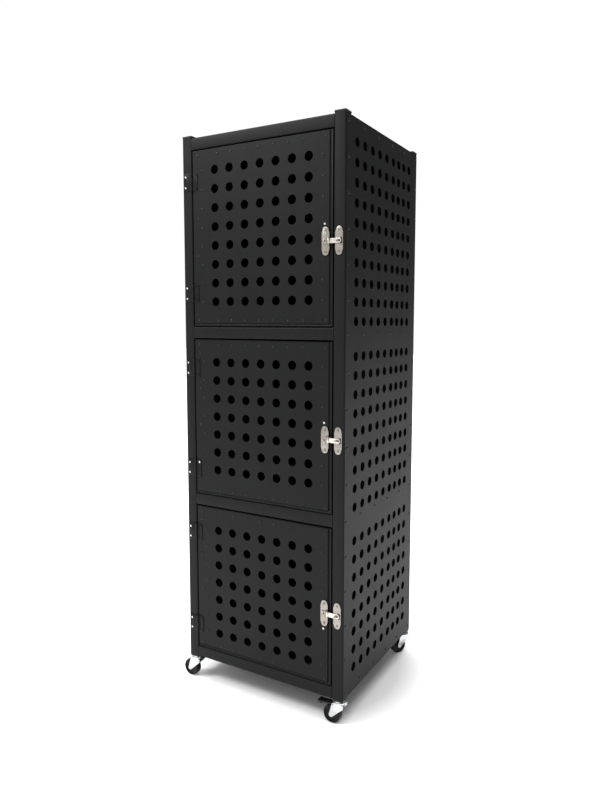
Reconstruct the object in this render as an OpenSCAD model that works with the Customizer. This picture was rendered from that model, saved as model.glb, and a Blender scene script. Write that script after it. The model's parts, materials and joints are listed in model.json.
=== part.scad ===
// Three-compartment locker cabinet on swivel casters.
// A square-tube frame carries sheet walls and shelves, and three inset perforated doors.
// Origin: on the floor, under the middle of the frame. +X right, +Y to the back, +Z up.

/* [Frame] */
// Width across the corner posts
frame_w = 525; // [400:5:800]
// Depth across the corner posts
frame_d = 487; // [380:1:700]
// Height of the bottom compartment's opening
bottom_bay_h = 442; // [300:1:700]
// Height of the middle compartment's opening
middle_bay_h = 462; // [300:1:700]
// Height of the top compartment's opening
top_bay_h = 501; // [300:1:700]
// Outside width of the square tube
tube = 32; // [25:1:45]
// Wall thickness of the square tube
tube_wall = 1.5; // [1:0.1:2.5]
// Outside corner radius of the square tube
tube_r = 3; // [2:0.5:5]
// How far the posts stand above the top rails
post_rise = 3; // [1:0.5:20]
// Thickness of the cap's flange on each post
cap_t = 5; // [2:0.5:10]
// How far a cap's flange overhangs its post
cap_overhang = 1.2; // [0:0.1:3]
// How far caps and sockets plug into the tube
plug_depth = 18; // [8:1:40]
// Gap between a plug and the inside of its tube, each side
plug_gap = 0.2; // [0.1:0.05:0.5]

/* [Sheet metal] */
// Thickness of the wall, shelf and door sheets
sheet_t = 1.2; // [0.8:0.1:2]
// Distance from a wall sheet's edge to the frame's edge
sheet_margin = 4; // [1:0.5:8]
// Gap between a shelf's notches and the posts
notch_gap = 0.5; // [0.2:0.1:2]
// Distance from a shelf's front edge to the frame's front face
shelf_setback = 3; // [1:0.5:10]

/* [Perforation] */
// Diameter of the perforations
hole_d = 25.4; // [12:0.1:28]
// Spacing of the perforations across a door
door_pitch_x = 50.8; // [35:0.1:80]
// Spacing of the perforations up a door
door_pitch_z = 52.4; // [35:0.1:80]
// How far each door's perforations sit towards the latch
door_holes_shift = 4; // [-8:0.5:8]
// How far each door's perforations sit above its middle, from the bottom door up
door_holes_rise = [-6, 5.5, 5];
// Spacing of the perforations up a side wall
side_pitch_z = 50.8; // [35:0.1:80]
// Spacing of the columns in the front part of the side wall
side_pitch_front = 47.3; // [35:0.1:80]
// Spacing of the columns in the back part of the side wall
side_pitch_back = 40; // [35:0.1:80]
// Distance from the frame's front face to the first column
side_first_column = 64.2; // [50:0.1:90]
// Number of closely spaced columns in the back part
side_back_columns = 3; // [1:1:6]
// Least distance from the last column to the frame's rear face
side_last_margin = 62; // [50:1:90]
// Least distance from the side perforations to a compartment's rails
side_row_margin = 8.5; // [2:0.5:20]
// How far each compartment's side perforations sit above its middle, from the bottom up
side_holes_rise = [-5.5, -17, -5];

/* [Doors] */
// Gap around each door
door_gap = 4; // [3:0.5:8]
// Width of the door frame's tube
door_bar_w = 40; // [30:1:60]
// Depth of the door frame's tube
door_bar_d = 20; // [12:1:28]
// Wall thickness of the door frame's tube
door_bar_wall = 1.5; // [1:0.1:2.5]
// Width of the door frame's lip that shows beside the sheet, at the latch edge and the bottom
door_lip = 7; // [4:0.5:8]
// Width of the same lip at the hinge edge and the top
door_lip_thin = 1.5; // [1:0.5:4]

/* [Rivets and screws] */
// Diameter of a rivet's head
rivet_head_d = 6.6; // [4:0.1:9]
// Height of a rivet's head
rivet_head_h = 1.3; // [0.8:0.1:2.5]
// Diameter of a rivet's shank
rivet_shank_d = 3.2; // [2.4:0.1:4.8]
// Gap between a shank and its hole, all round
shank_gap = 0.1; // [0.05:0.05:0.3]
// Spacing of the rivets along a door's top and bottom edges
door_rivet_pitch = 46.5; // [30:0.5:80]
// Distance from a door's top and bottom edges to its outer rivets
door_rivet_edge = 15.5; // [13:0.5:25]
// Distance from a door's sides to its outer rivets
door_rivet_side = 18.5; // [13:0.5:25]
// Distance from a door's latch edge to the rivets beside the latch
door_rivet_latch = 27.5; // [18:0.5:32]
// How far the rivets beside the latch sit below the perforations' rows
door_rivet_latch_drop = 1.5; // [0:0.5:6]
// Least distance between a door's corner rivets and the row between them
door_rivet_row_gap = 60; // [40:1:90]
// Distance from a door's hinge edge to its inner rivet column
door_rivet_inner = 33.5; // [26:0.5:38]
// Largest spacing of the wall rivets along a post or rail
wall_rivet_pitch = 100; // [60:5:200]
// Diameter of a screw's head
screw_head_d = 6.4; // [4:0.1:9]
// Height of a screw's head
screw_head_h = 1.4; // [0.8:0.1:2.5]
// Diameter of a screw's shank
screw_shank_d = 3.4; // [2.4:0.1:4.8]
// Width and depth of the cross recess in a screw's head
screw_recess = 0.7; // [0.4:0.1:1]

/* [Hinges] */
// Height of a hinge
hinge_h = 51; // [38:1:80]
// Width of the leaf on the post, from the hinge pin's axis
post_leaf_w = 30.5; // [24:0.5:31]
// Width of the leaf on the door, from the hinge pin's axis
door_leaf_w = 19.5; // [18:0.5:24]
// Thickness of a hinge leaf
leaf_t = 1.6; // [1:0.1:2.5]
// Outside diameter of the knuckles
knuckle_d = 6; // [5:0.5:10]
// Diameter of the hinge pin
hinge_pin_d = 3; // [2:0.1:4]
// Running clearance of the pins in their bores, all round
pin_fit = 0.05; // [0.02:0.01:0.1]
// Gap between neighbouring knuckles
knuckle_gap = 0.3; // [0.2:0.1:1]
// Distance between the two screws of a post leaf
post_leaf_pitch = 30; // [20:1:40]
// Distance between the two screws of a door leaf
door_leaf_pitch = 38; // [20:1:42]
// Distance from the hinge pin's axis to the post leaf's screws
post_leaf_screw = 22.5; // [12:0.5:26]
// Distance from the hinge pin's axis to the door leaf's screws
door_leaf_screw = 14.5; // [12:0.5:15]
// Distance from each opening's top to the upper hinge's middle, from the bottom door up
hinge_top = [85, 87, 89];
// Distance from each opening's bottom to the lower hinge's middle, from the bottom door up
hinge_bottom = [72, 78, 97];

/* [Latches] */
// Height of the latch plates
latch_h = 72; // [60:1:100]
// Width of the latch plates
latch_w = 22; // [18:0.5:24]
// Thickness of the latch plates
latch_t = 2.5; // [1.5:0.1:4]
// Height of the wide middle part of a latch plate
latch_waist_h = 43; // [30:1:52]
// Distance between a latch plate's screws
latch_screw_pitch = 54; // [46:1:62]
// Distance from the door's latch edge to the door plate's middle
latch_inset = 19; // [14:0.5:24]
// How far each latch sits below its door's middle, from the bottom door up
latch_drop = [17, 29, 30];
// Height of the latch arm
arm_h = 12.6; // [8:0.2:20]
// Thickness of the latch arm
arm_t = 2.5; // [1.5:0.1:4]
// Gap between the closed arm and the keeper plate
arm_rest_gap = 0.5; // [0.2:0.1:1]
// Length of the arm from its pin's axis to its tip
arm_l = 35.5; // [30:0.5:38]
// Diameter of the arm's pin
arm_pin_d = 3; // [2:0.1:4]
// Outside diameter of the arm's knuckle
arm_knuckle_d = 6.4; // [5:0.1:9]
// Thickness of the lugs that hold the arm's pin
lug_t = 3; // [2:0.5:5]
// Width of the raised boss on the door plate
boss_w = 12; // [8:0.5:13]
// Height of the raised boss on the door plate
boss_h = 14; // [8:0.5:20]
// Rise of the boss above the door plate
boss_rise = 2.6; // [1:0.1:2.8]
// Diameter of the hole in the boss
boss_hole_d = 4.6; // [3:0.1:6]
// Distance from the arm pin's axis to the staple's middle
staple_reach = 26.5; // [22:0.5:28]
// Width of the staple
staple_w = 8; // [7:0.5:8]
// Thickness of the staple
staple_t = 3; // [2:0.1:4]
// How far the staple stands out from the keeper plate
staple_out = 11; // [10:0.5:16]
// Diameter of the padlock hole in the staple
padlock_hole_d = 4.5; // [3:0.1:5]
// Length of the slot in the arm, past which the staple swings
slot_l = 10.9; // [10:0.1:12]
// Height of the slot in the arm
slot_h = 4.4; // [3:0.1:6]

/* [Casters] */
// Height from the floor to the underside of the frame
caster_h = 74; // [70:1:120]
// Diameter of the wheels
wheel_d = 50.8; // [40:0.1:60]
// Width of the wheels
wheel_w = 20; // [14:0.5:24]
// Distance from the swivel axis to the wheel's axle, seen from above
caster_trail = 20; // [15:0.5:30]
// Directions in which the casters trail: front left, front right, rear left, rear right
caster_headings = [180, 180, 205, 235];
// Thickness of the socket's flange under each post
socket_flange_t = 5; // [2:0.5:8]
// Diameter of the threaded stem
stem_d = 10; // [8:0.5:12]
// Diameter of the swivel's raceway
raceway_d = 35; // [26:0.5:38]
// Thickness of the fork's sheet
fork_t = 2; // [1.5:0.1:3]
// Gap between the wheel and each side of the fork
wheel_side_gap = 1.6; // [1:0.1:3]
// Diameter of the wheel's axle
axle_d = 6; // [5:0.5:10]
// Width of the brake pedals
pedal_w = 18; // [10:0.5:19]
// Distance from the swivel axis to the far end of the trailing pedal
pedal_reach = 63; // [56:1:75]
// How far the trailing pedal's pad hangs below its pivot
pedal_drop = 5; // [2:0.5:8]

/* [Hidden] */
$fn = 48;

black_paint = [0.13, 0.13, 0.14];
black_plastic = [0.06, 0.06, 0.06];
zinc = [0.78, 0.79, 0.80];
nickel = [0.74, 0.72, 0.68];
cut = 1; // overrun of every cut

screw_recess_l = 0.6 * screw_head_d; // length of a screw's cross recess
cap_bevel = 1; // height of a cap's narrower top

// Levels: the doors, bays and latches count from the bottom up
bays = [0, 1, 2];
levels = [0, 1, 2, 3];
bay_h = [bottom_bay_h, middle_bay_h, top_bay_h];
function bays_below(i) = i == 0 ? 0 : bay_h[i - 1] + bays_below(i - 1);
function rail_z(i) = caster_h + i * tube + bays_below(i);
function bay_mid(i) = rail_z(i) + tube + bay_h[i] / 2;
frame_top = rail_z(3) + tube;
post_top = frame_top + post_rise;
bay_w = frame_w - 2 * tube;
bay_d = frame_d - 2 * tube;
post_x = frame_w / 2 - tube / 2;
post_y = frame_d / 2 - tube / 2;

// Doors
door_w = bay_w - 2 * door_gap;
function door_h(i) = bay_h[i] - 2 * door_gap;
door_open_w = door_w - 2 * door_bar_w;
function door_open_h(i) = door_h(i) - 2 * door_bar_w;
function count_in(space, pitch) = floor((space - hole_d) / pitch) + 1;
door_columns = count_in(door_open_w, door_pitch_x);
function door_rows(i) = count_in(door_open_h(i), door_pitch_z);
function spare(space, n, pitch) = (space - (n - 1) * pitch - hole_d) / 2;
function kept_within(shift, room) = max(-room, min(room, shift));
function centred(n, pitch) = [for (k = [0 : n - 1]) (k - (n - 1) / 2) * pitch];
door_hole_x = [for (x = centred(door_columns, door_pitch_x))
    x + kept_within(door_holes_shift, spare(door_open_w, door_columns, door_pitch_x))];
function door_hole_z(i) = [for (z = centred(door_rows(i), door_pitch_z))
    z + kept_within(door_holes_rise[i], spare(door_open_h(i), door_rows(i), door_pitch_z))];

// Side wall: the front columns fill what the closer back columns leave
side_back_w = side_back_columns * side_pitch_back;
side_front_columns = floor((frame_d - side_first_column - side_last_margin - side_back_w)
    / side_pitch_front) + 1;
side_hole_y = concat(
    [for (k = [0 : side_front_columns - 1])
        side_first_column - frame_d / 2 + k * side_pitch_front],
    [for (k = [1 : side_back_columns])
        side_first_column - frame_d / 2 + (side_front_columns - 1) * side_pitch_front
            + k * side_pitch_back]);
function side_rows(i) = count_in(bay_h[i] - 2 * side_row_margin, side_pitch_z);
function side_hole_z(i) = [for (z = centred(side_rows(i), side_pitch_z))
    bay_mid(i) + z + kept_within(side_holes_rise[i], spare(bay_h[i], side_rows(i), side_pitch_z))];

// Wall rivets: evenly spaced, no further apart than wall_rivet_pitch
function even(from, to) = let (n = ceil((to - from) / wall_rivet_pitch))
    [for (k = [1 : n - 1]) from + (to - from) * k / n];
function rail_rivets(half) = [for (u = even(-half, half), i = levels) [u, rail_z(i) + tube / 2]];
function post_rivets(half) = [for (s = [-1, 1], i = levels) each concat(
    [[s * half, rail_z(i) + tube / 2]],
    i == 3 ? [] : [for (z = even(rail_z(i) + tube / 2, rail_z(i + 1) + tube / 2)) [s * half, z]])];
side_rail_rivets = rail_rivets(post_y);
side_post_rivets = post_rivets(post_y);
rear_rail_rivets = rail_rivets(post_x);
rear_post_rivets = post_rivets(post_x);
top_rivets = concat(
    [for (x = even(-post_x, post_x), s = [-1, 1]) [x, s * post_y]],
    [for (y = even(-post_y, post_y), s = [-1, 1]) [s * post_x, y]]);

// Hinges
knuckle_r = knuckle_d / 2;
hinge_x = -bay_w / 2 + door_gap / 2;
hinge_out = knuckle_r;
knuckle_l = hinge_h / 3;
function hinge_z(i) = [hinge_bottom[i] - bay_h[i] / 2, bay_h[i] / 2 - hinge_top[i]];
function leaf_screws(i, x, pitch) = [for (z = hinge_z(i), s = [-1, 1]) [x, z + s * pitch / 2]];
function post_leaf_screws(i) = leaf_screws(i, hinge_x - post_leaf_screw, post_leaf_pitch);
function door_leaf_screws(i) = leaf_screws(i, hinge_x + door_leaf_screw, door_leaf_pitch);

// Latches
latch_x = door_w / 2 - latch_inset;
keeper_x = post_x;
latch_neck_r = (latch_h - latch_screw_pitch) / 2;
arm_axis_x = latch_x + latch_w / 2;
arm_axis_out = latch_t + arm_rest_gap + arm_knuckle_d / 2;
arm_pin_over = 1; // how far the arm's pin stands out at each end
staple_x = arm_axis_x + staple_reach;
padlock_out = latch_t + staple_out - staple_w / 2;
slot_shift = 0.65; // the staple swings through the slot off its middle
lug_gap = 0.2; // between the arm and each lug
lug_root = boss_w / 4; // where the lugs start, from the plate's middle
function latch_screws(i, x) = [for (s = [-1, 1]) [x, s * latch_screw_pitch / 2 - latch_drop[i]]];
// A spare screw sits below the bottom latch and above the others
spare_screw_in = 3;
spare_screw_gap = 5; // between its head and the latch plate
spare_screw_off = latch_h / 2 + spare_screw_gap + screw_head_d / 2;
function spare_screw(i) =
    [latch_x - spare_screw_in, (i == 0 ? -1 : 1) * spare_screw_off - latch_drop[i]];

// Door rivets: a row along the top and bottom, a column beside the latch, and two columns
// beside the hinges, of which the outer one is sparse
function clear_of_latch(i, z) = abs(z + latch_drop[i]) > latch_h / 2 + rivet_head_d
    && abs(z - spare_screw(i)[1]) > screw_head_d + rivet_head_d;
function clear_of_hinge(i, z) =
    min([for (h = hinge_z(i)) abs(z - h)]) > hinge_h / 2 + rivet_head_d / 2;
door_rivet_x = door_w / 2 - door_rivet_side;
latch_rivet_x = door_w / 2 - door_rivet_latch;
row_rivets = floor(2 * (door_rivet_x - door_rivet_row_gap) / door_rivet_pitch) + 1;
function door_rivets(i) = let (edge = door_h(i) / 2 - door_rivet_edge, z = door_hole_z(i)) concat(
    [for (x = centred(row_rivets, door_rivet_pitch), s = [-1, 1]) [x, s * edge]],
    [for (a = [-1, 1], b = [-1, 1]) [a * door_rivet_x, b * edge]],
    [for (h = z) if (clear_of_latch(i, h - door_rivet_latch_drop))
        [latch_rivet_x, h - door_rivet_latch_drop]],
    [for (h = z) [door_rivet_inner - door_w / 2, h]],
    [for (k = [0 : len(z) - 1]) if (k % 2 == 0 && clear_of_hinge(i, z[k] + door_pitch_z / 2))
        [-door_rivet_x, z[k] + door_pitch_z / 2]]);

// Casters
corners = [[-1, -1], [1, -1], [-1, 1], [1, 1]];
stem_r = stem_d / 2;
wheel_r = wheel_d / 2;
swivel_gap = 0.3; // between the stem's collar and head and what turns between them
collar_t = 0.7;
collar_d = 0.7 * raceway_d;
stem_head_t = 2;
stem_head_r = stem_r + 2.5;
raceway_h = 8;
raceway_rim_over = 3; // the rim stands out from the raceway's body by this much
raceway_rim_t = 4;
raceway_rim_lift = 1;
raceway_top = caster_h - socket_flange_t - collar_t - swivel_gap;
fork_top = raceway_top - raceway_h;
leg_y = wheel_w / 2 + wheel_side_gap;
fork_w = 2 * (leg_y + fork_t);
fork_tip_r = 6;
fork_edge_r = 1.5;
fork_half_l = 15; // half the length of a fork side's top edge
fork_side_h = 7.5; // height of a fork side's leading end
crown_from = -8; // ends of the plate that joins the fork's sides
crown_to = 13;
axle_head_d = axle_d + 4;
axle_head_h = 2.2;
hub_t = 4; // thickness of the wheel's hub round its bore
hub_over = 0.8; // how far the hub stands out past the tread
web_inset = 3; // how far the web lies inside the rim's faces
rim_t = 6;
rim_draft = 1; // taper of the rim's and hub's inner faces
tread_chamfer = 2;
pedal_t = 3.5;
pedal_hub_r = 3.6;
pedal_pin_r = 1.8;
pad_l = 12; // length and height of the trailing pedal's pad
pad_h = 7;
tab_l = 17; // length, thickness and slope of the leading pedal's toe tab
tab_t = 3;
tab_rise = 35;
tab_end_l = 6; // length and thickness of the tab's ridge
tab_end_t = 5;
// Pivots of the pedals, from the swivel axis towards the front of the fork, and above the floor
trailing_pivot = [-14, fork_top - 4.2];
leading_pivot = [12, fork_top - 6.2];

// ---------- placing ----------
// Each of these turns a flat drawing (local Z outwards) onto one face of the frame
module on_front() translate([0, -frame_d / 2, 0]) rotate([90, 0, 0]) children();
module on_rear() mirror([0, 1, 0]) on_front() children();
module on_right() translate([frame_w / 2, 0, 0]) rotate([90, 0, 90]) children();
module on_left() mirror([1, 0, 0]) on_right() children();
module at_door(i) on_front() translate([0, bay_mid(i), 0]) children();
module at_points(points) for (p = points) translate([p[0], p[1], 0]) children();
// A caster's own frame: swivel axis at the origin, +X towards the front of the fork
module at_caster(c) translate([corners[c][0] * post_x, corners[c][1] * post_y, 0])
    rotate([0, 0, caster_headings[c] - 180]) children();

// ---------- shared shapes ----------
module rounded_square(size, r) {
    square([size - 2 * r, size], center = true);
    square([size, size - 2 * r], center = true);
    for (x = [-1, 1], y = [-1, 1]) translate([x * (size / 2 - r), y * (size / 2 - r)]) circle(r);
}

module tube_section() difference() {
    rounded_square(tube, tube_r);
    rounded_square(tube - 2 * tube_wall, tube_r - tube_wall);
}

// A domed head on a flat seat, with its shank below
module fastener(head_d, head_h, shank_d, shank_l) {
    dome_r = (head_d * head_d / 4 + head_h * head_h) / (2 * head_h);
    rotate_extrude($fn = 24) {
        intersection() {
            translate([0, head_h - dome_r]) circle(dome_r, $fn = 64);
            square([head_d / 2, head_h]);
        }
        translate([0, -shank_l]) square([shank_d / 2, shank_l]);
    }
}

module rivet() fastener(rivet_head_d, rivet_head_h, rivet_shank_d, sheet_t + tube_wall);

module screw(grip) difference() {
    fastener(screw_head_d, screw_head_h, screw_shank_d, grip);
    for (a = [0, 90]) rotate([0, 0, a + 45])
        translate([0, 0, screw_head_h])
            cube([screw_recess_l, screw_recess, 2 * screw_recess], center = true);
}

// Holes for shanks: flat, for sheets, and bored, for tube walls
module shank_circle(d) circle(d = d + 2 * shank_gap, $fn = 24);
module shank_bore(d, depth) translate([0, 0, -depth - cut / 2])
    cylinder(h = depth + cut, d = d + 2 * shank_gap, $fn = 24);
module rivet_bore() shank_bore(rivet_shank_d, tube_wall);
module screw_bore() shank_bore(screw_shank_d, tube_wall);

// ---------- frame ----------
module post(side, end) {
    color(black_paint) difference() {
        translate([side * post_x, end * post_y, caster_h])
            linear_extrude(post_top - caster_h) tube_section();
        if (side > 0) on_right() at_points(end_points(side_post_rivets, end)) rivet_bore();
        else on_left() at_points(end_points(side_post_rivets, end)) rivet_bore();
        if (end > 0) on_rear() at_points(end_points(rear_post_rivets, side)) rivet_bore();
        else for (i = bays) at_door(i)
            at_points(side > 0 ? latch_screws(i, keeper_x) : post_leaf_screws(i)) screw_bore();
    }
}
function end_points(points, end) = [for (p = points) if (p[0] * end > 0) p];

module post_front_left() post(-1, -1);
module post_front_right() post(1, -1);
module post_rear_left() post(-1, 1);
module post_rear_right() post(1, 1);

module plug(depth) linear_extrude(depth)
    rounded_square(tube - 2 * tube_wall - 2 * plug_gap, tube_r - tube_wall);

module post_caps() color(black_plastic) for (c = corners)
    translate([c[0] * post_x, c[1] * post_y, post_top]) {
        linear_extrude(cap_t - cap_bevel)
            rounded_square(tube + 2 * cap_overhang, tube_r + cap_overhang);
        translate([0, 0, cap_t - cap_bevel]) linear_extrude(cap_bevel) rounded_square(tube, tube_r);
        translate([0, 0, -plug_depth]) plug(plug_depth);
    }

module width_rails() color(black_paint) difference() {
    for (i = levels, s = [-1, 1])
        translate([-bay_w / 2, s * post_y, rail_z(i) + tube / 2])
            rotate([90, 0, 90]) linear_extrude(bay_w) tube_section();
    on_rear() at_points(rear_rail_rivets) rivet_bore();
    translate([0, 0, frame_top])
        at_points([for (p = top_rivets) if (abs(p[1]) == post_y) p]) rivet_bore();
}

module depth_rails() color(black_paint) difference() {
    for (i = levels, s = [-1, 1])
        translate([s * post_x, bay_d / 2, rail_z(i) + tube / 2])
            rotate([90, 0, 0]) linear_extrude(bay_d) tube_section();
    on_right() at_points(side_rail_rivets) rivet_bore();
    on_left() at_points(side_rail_rivets) rivet_bore();
    translate([0, 0, frame_top])
        at_points([for (p = top_rivets) if (abs(p[0]) == post_x) p]) rivet_bore();
}

// ---------- walls, shelves ----------
module wall_outline(w) translate([-w / 2 + sheet_margin, rail_z(0) + sheet_margin / 2])
    square([w - 2 * sheet_margin, frame_top - rail_z(0) - sheet_margin]);

module side_wall(perforated) linear_extrude(sheet_t) difference() {
    wall_outline(frame_d);
    at_points(concat(side_rail_rivets, side_post_rivets)) shank_circle(rivet_shank_d);
    if (perforated) for (i = bays, z = side_hole_z(i), y = side_hole_y)
        translate([y, z]) circle(d = hole_d);
}

module left_wall_panel() color(black_paint) on_left() side_wall(false);
module right_wall_panel() color(black_paint) on_right() side_wall(true);

module rear_wall_panel() color(black_paint) on_rear() linear_extrude(sheet_t) difference() {
    wall_outline(frame_w);
    at_points(concat(rear_rail_rivets, rear_post_rivets)) shank_circle(rivet_shank_d);
}

// A sheet that lies on a level's rails, notched round the posts
module deck(level, rivets = []) color(black_paint)
    translate([0, 0, rail_z(level) + tube]) linear_extrude(sheet_t) difference() {
        translate([-frame_w / 2, -frame_d / 2 + shelf_setback])
            square([frame_w, frame_d - shelf_setback]);
        for (c = corners) translate([c[0] * post_x, c[1] * post_y])
            square(tube + 2 * notch_gap, center = true);
        at_points(rivets) shank_circle(rivet_shank_d);
    }

module floor_panel() deck(0);
module shelf_lower() deck(1);
module shelf_upper() deck(2);
module top_panel() deck(3, top_rivets);

module panel_rivets() color(black_paint) {
    on_right() at_points(concat(side_rail_rivets, side_post_rivets))
        translate([0, 0, sheet_t]) rivet();
    on_left() at_points(concat(side_rail_rivets, side_post_rivets))
        translate([0, 0, sheet_t]) rivet();
    on_rear() at_points(concat(rear_rail_rivets, rear_post_rivets))
        translate([0, 0, sheet_t]) rivet();
    translate([0, 0, frame_top + sheet_t]) at_points(top_rivets) rivet();
}

// ---------- hinges ----------
// One leaf's plate and its knuckles, about the hinge pin, in the plane of the front face
module leaf(width, knuckles, screw_x, pitch) {
    side = sign(width);
    inner = side * (knuckle_r + knuckle_gap);
    difference() {
        union() {
            translate([min(inner, width), -hinge_h / 2, 0])
                cube([abs(width - inner), hinge_h, leaf_t]);
            for (k = knuckles) translate([0, (k - 1.5) * knuckle_l + knuckle_gap / 2, 0]) {
                translate([min(inner, 0), 0, 0])
                    cube([abs(inner), knuckle_l - knuckle_gap, leaf_t]);
                translate([0, 0, hinge_out]) rotate([-90, 0, 0])
                    cylinder(h = knuckle_l - knuckle_gap, r = knuckle_r, $fn = 32);
            }
        }
        translate([0, -hinge_h / 2 - cut, hinge_out]) rotate([-90, 0, 0])
            cylinder(h = hinge_h + 2 * cut, d = hinge_pin_d + 2 * pin_fit, $fn = 32);
        for (s = [-1, 1]) translate([screw_x, s * pitch / 2, leaf_t])
            shank_bore(screw_shank_d, leaf_t + cut);
    }
}

module at_hinges(i) at_door(i) for (z = hinge_z(i)) translate([hinge_x, z, 0]) children();

module hinge_post_leaves() color(black_paint) for (i = bays)
    at_hinges(i) leaf(-post_leaf_w, [0, 2], -post_leaf_screw, post_leaf_pitch);

module hinge_pins() color(black_paint) for (i = bays) at_hinges(i)
    translate([0, -hinge_h / 2, hinge_out]) rotate([-90, 0, 0])
        cylinder(h = hinge_h, d = hinge_pin_d, $fn = 32);

module post_screws() color(zinc) for (i = bays) at_door(i) {
    at_points(post_leaf_screws(i)) translate([0, 0, leaf_t]) screw(leaf_t + tube_wall);
    at_points(latch_screws(i, keeper_x)) translate([0, 0, latch_t]) screw(latch_t + tube_wall);
}

// ---------- latches ----------
module latch_plate_outline() difference() {
    union() {
        square([latch_w, latch_waist_h], center = true);
        for (s = [-1, 1]) {
            translate([0, s * latch_screw_pitch / 2]) circle(latch_neck_r);
            polygon([[-latch_w / 2, s * latch_waist_h / 2], [latch_w / 2, s * latch_waist_h / 2],
                [latch_neck_r, s * latch_screw_pitch / 2], [-latch_neck_r, s * latch_screw_pitch / 2]]);
        }
    }
    for (s = [-1, 1]) translate([0, s * latch_screw_pitch / 2]) shank_circle(screw_shank_d);
}

// A vertical plate with a staple that passes through the arm's slot
module latch_keepers() color(nickel) for (i = bays) at_door(i) translate([0, -latch_drop[i], 0]) {
    translate([keeper_x, 0, 0]) linear_extrude(latch_t) latch_plate_outline();
    translate([staple_x, staple_t / 2, 0]) rotate([90, 0, 0]) linear_extrude(staple_t)
        difference() {
            union() {
                translate([-staple_w / 2, latch_t / 2])
                    square([staple_w, padlock_out - latch_t / 2]);
                translate([0, padlock_out]) circle(staple_w / 2);
            }
            translate([0, padlock_out]) circle(d = padlock_hole_d);
        }
}

module latch_plate(i) color(nickel) at_door(i) translate([latch_x, -latch_drop[i], 0]) {
    difference() {
        union() {
            linear_extrude(latch_t) latch_plate_outline();
            translate([-boss_w / 2, -boss_h / 2, 0]) cube([boss_w, boss_h, latch_t + boss_rise]);
        }
        translate([0, 0, latch_t / 2]) cylinder(h = latch_t + boss_rise, d = boss_hole_d);
    }
    for (s = [-1, 1]) translate([0, s * (arm_h / 2 + lug_t / 2 + lug_gap), 0]) difference() {
        union() {
            translate([lug_root, -lug_t / 2, latch_t / 2])
                cube([latch_w / 2 - lug_root, lug_t, arm_axis_out - latch_t / 2]);
            translate([latch_w / 2, -lug_t / 2, arm_axis_out]) rotate([-90, 0, 0])
                cylinder(h = lug_t, d = arm_knuckle_d);
        }
        translate([latch_w / 2, 0, arm_axis_out]) rotate([90, 0, 0])
            cylinder(h = lug_t + 2 * cut, d = arm_pin_d + 2 * pin_fit, center = true);
    }
}

module latch_pin(i) color(nickel) at_door(i) translate([arm_axis_x, -latch_drop[i], arm_axis_out])
    rotate([90, 0, 0])
        cylinder(h = arm_h + 2 * (lug_t + arm_pin_over), d = arm_pin_d, center = true);

module latch_arm(i) color(nickel) at_door(i) translate([arm_axis_x, -latch_drop[i], 0])
    difference() {
        union() {
            translate([0, 0, latch_t + arm_rest_gap]) linear_extrude(arm_t) {
                translate([0, -arm_h / 2]) square([arm_l - arm_h / 2, arm_h]);
                translate([arm_l - arm_h / 2, 0]) circle(arm_h / 2);
            }
            translate([0, 0, arm_axis_out]) rotate([90, 0, 0])
                cylinder(h = arm_h, d = arm_knuckle_d, center = true);
        }
        translate([0, 0, arm_axis_out]) rotate([90, 0, 0])
            cylinder(h = arm_h + 2 * cut, d = arm_pin_d + 2 * pin_fit, center = true);
        translate([staple_reach - slot_l / 2 + slot_shift, -slot_h / 2, 0])
            cube([slot_l, slot_h, latch_t + 2 * arm_t]);
    }

// ---------- doors ----------
module door_frame(i) color(black_paint) at_door(i) translate([0, 0, -sheet_t - door_bar_d])
    difference() {
        linear_extrude(door_bar_d) ring(door_w, door_h(i), door_bar_w);
        translate([0, 0, door_bar_wall]) linear_extrude(door_bar_d - 2 * door_bar_wall)
            ring(door_w - 2 * door_bar_wall, door_h(i) - 2 * door_bar_wall,
                door_bar_w - 2 * door_bar_wall);
        translate([0, 0, door_bar_d]) {
            at_points(door_rivets(i)) shank_bore(rivet_shank_d, door_bar_wall);
            at_points(door_screw_points(i)) shank_bore(screw_shank_d, door_bar_wall);
        }
    }
function door_screw_points(i) =
    concat(door_leaf_screws(i), latch_screws(i, latch_x), [spare_screw(i)]);

module ring(w, h, bar) difference() {
    square([w, h], center = true);
    square([w - 2 * bar, h - 2 * bar], center = true);
}

module door_sheet(i) color(black_paint) at_door(i) translate([0, 0, -sheet_t])
    linear_extrude(sheet_t) difference() {
        translate([door_lip_thin - door_w / 2, door_lip - door_h(i) / 2])
            square([door_w - door_lip - door_lip_thin, door_h(i) - door_lip - door_lip_thin]);
        for (x = door_hole_x, z = door_hole_z(i)) translate([x, z]) circle(d = hole_d);
        at_points(door_rivets(i)) shank_circle(rivet_shank_d);
        at_points(door_screw_points(i)) shank_circle(screw_shank_d);
    }

module door_rivet_set(i) color(black_paint) at_door(i) at_points(door_rivets(i))
    fastener(rivet_head_d, rivet_head_h, rivet_shank_d, sheet_t + door_bar_wall);

module door_leaves(i) color(black_paint) at_hinges(i)
    leaf(door_leaf_w, [1], door_leaf_screw, door_leaf_pitch);

module door_screws(i) color(zinc) at_door(i) {
    at_points(door_leaf_screws(i)) translate([0, 0, leaf_t])
        screw(leaf_t + sheet_t + door_bar_wall);
    at_points(latch_screws(i, latch_x)) translate([0, 0, latch_t])
        screw(latch_t + sheet_t + door_bar_wall);
    at_points([spare_screw(i)]) screw(sheet_t + door_bar_wall);
}

// ---------- casters ----------
module caster_sockets() color(black_plastic) for (c = [0 : 3])
    translate([corners[c][0] * post_x, corners[c][1] * post_y, caster_h]) difference() {
        union() {
            translate([0, 0, -socket_flange_t]) linear_extrude(socket_flange_t)
                rounded_square(tube, tube_r);
            plug(plug_depth);
        }
        translate([0, 0, -socket_flange_t - cut])
            cylinder(h = socket_flange_t + plug_depth + 2 * cut, d = stem_d + 2 * shank_gap);
    }

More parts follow.
